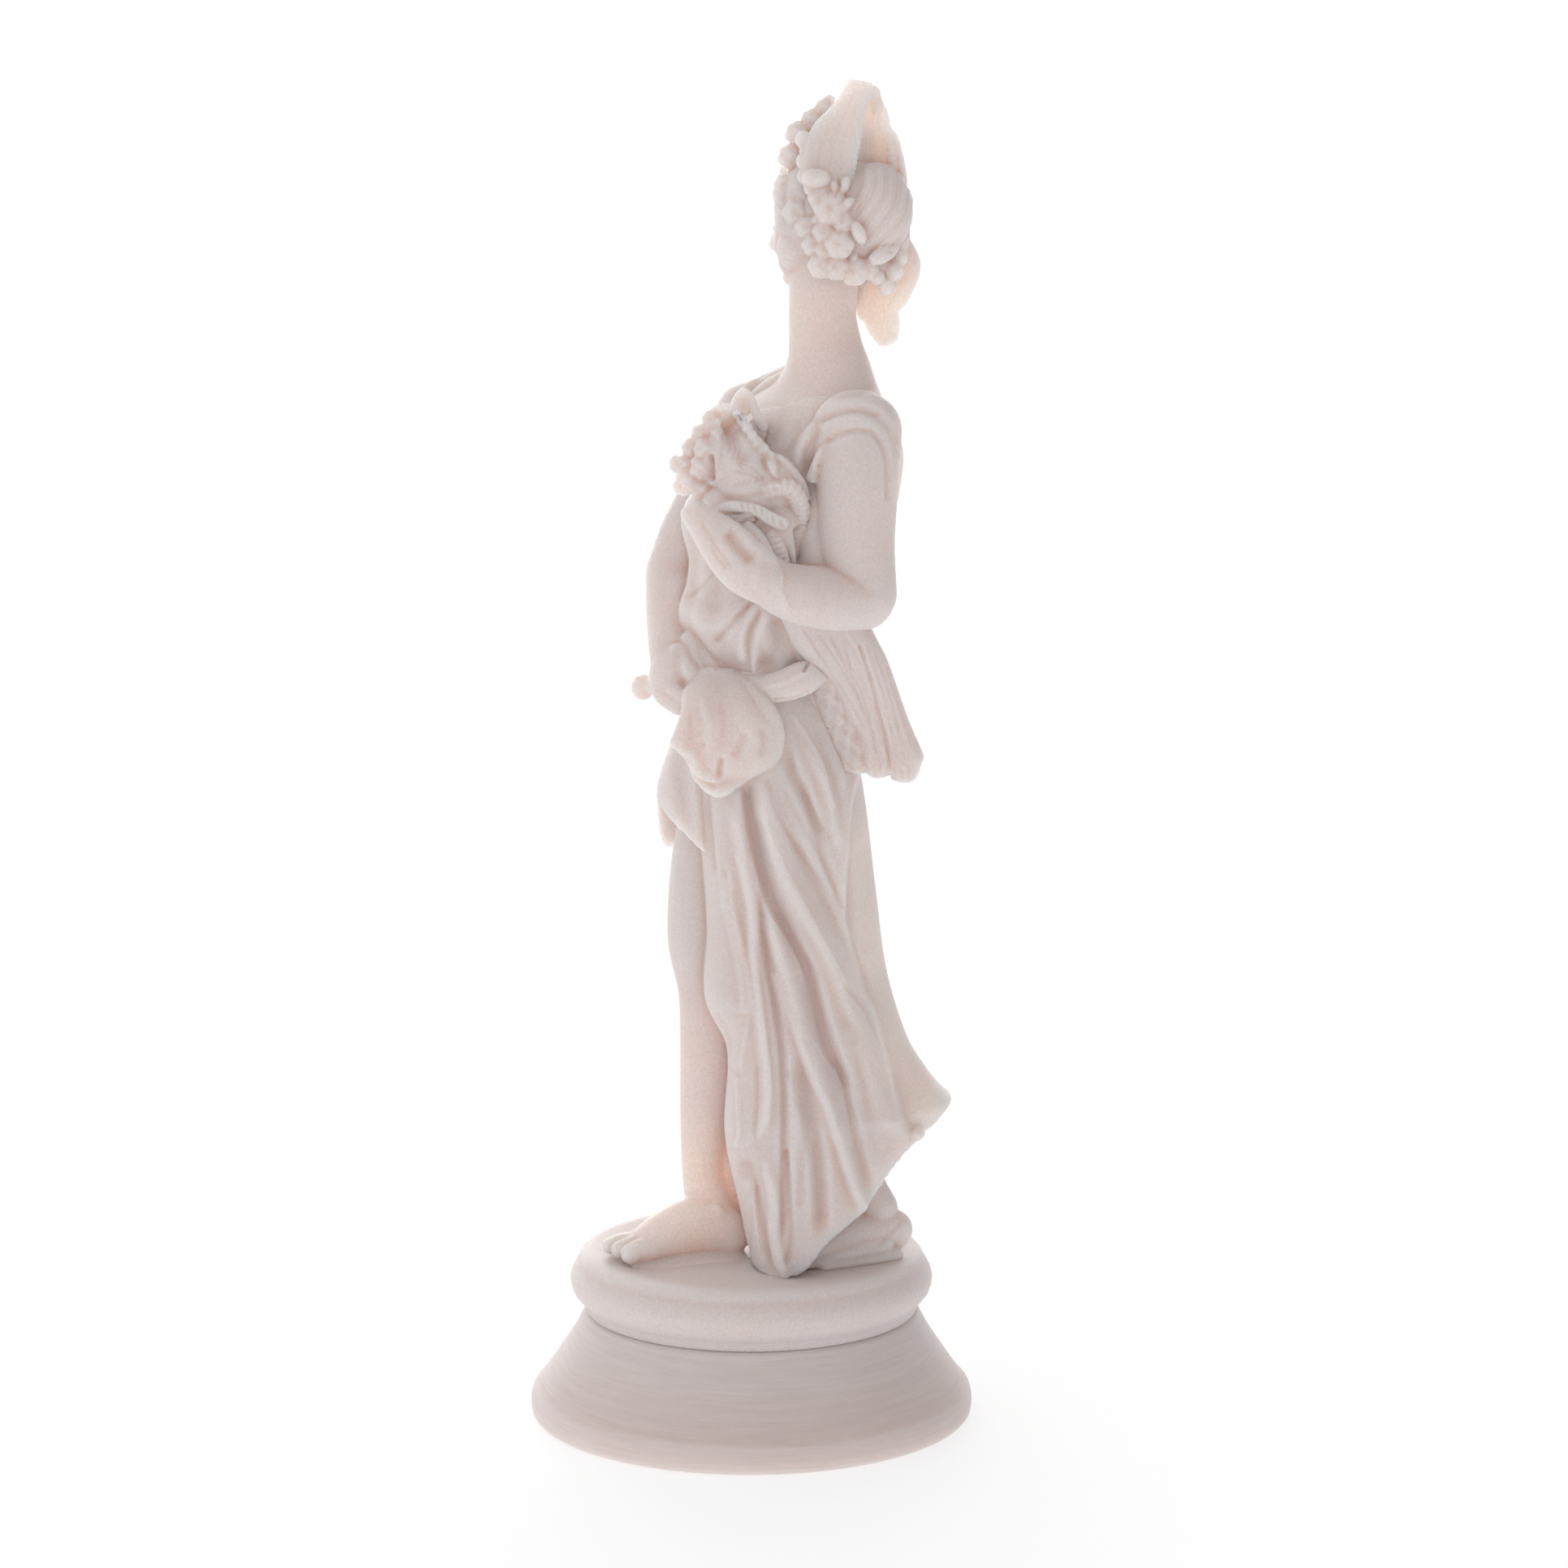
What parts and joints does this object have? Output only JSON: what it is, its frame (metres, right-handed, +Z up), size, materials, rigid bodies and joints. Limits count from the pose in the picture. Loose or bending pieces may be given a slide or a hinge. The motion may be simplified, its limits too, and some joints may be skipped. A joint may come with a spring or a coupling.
{
  "type": "statue",
  "caption": "Small alabaster statue of a harvest goddess with wreath, sheaf and sickle on a round moulded plinth over a flared turned base.",
  "frame": {"origin": "centre of the base's underside, on the surface the statue stands on", "axes": "+Z up through the crown of leaves, -Y where the chest faces, +X to the figure's left hand"},
  "size_m": [0.0828, 0.0828, 0.2472],
  "materials": {
    "figure_stone": "matt alabaster, softly rubbed, faintly translucent",
    "base_stone": "matt alabaster with fine turning and brush marks"
  },
  "bodies": {
    "root": {"goddess_figure": "figure_stone", "flared_base": "base_stone"}
  },
  "joints": []
}
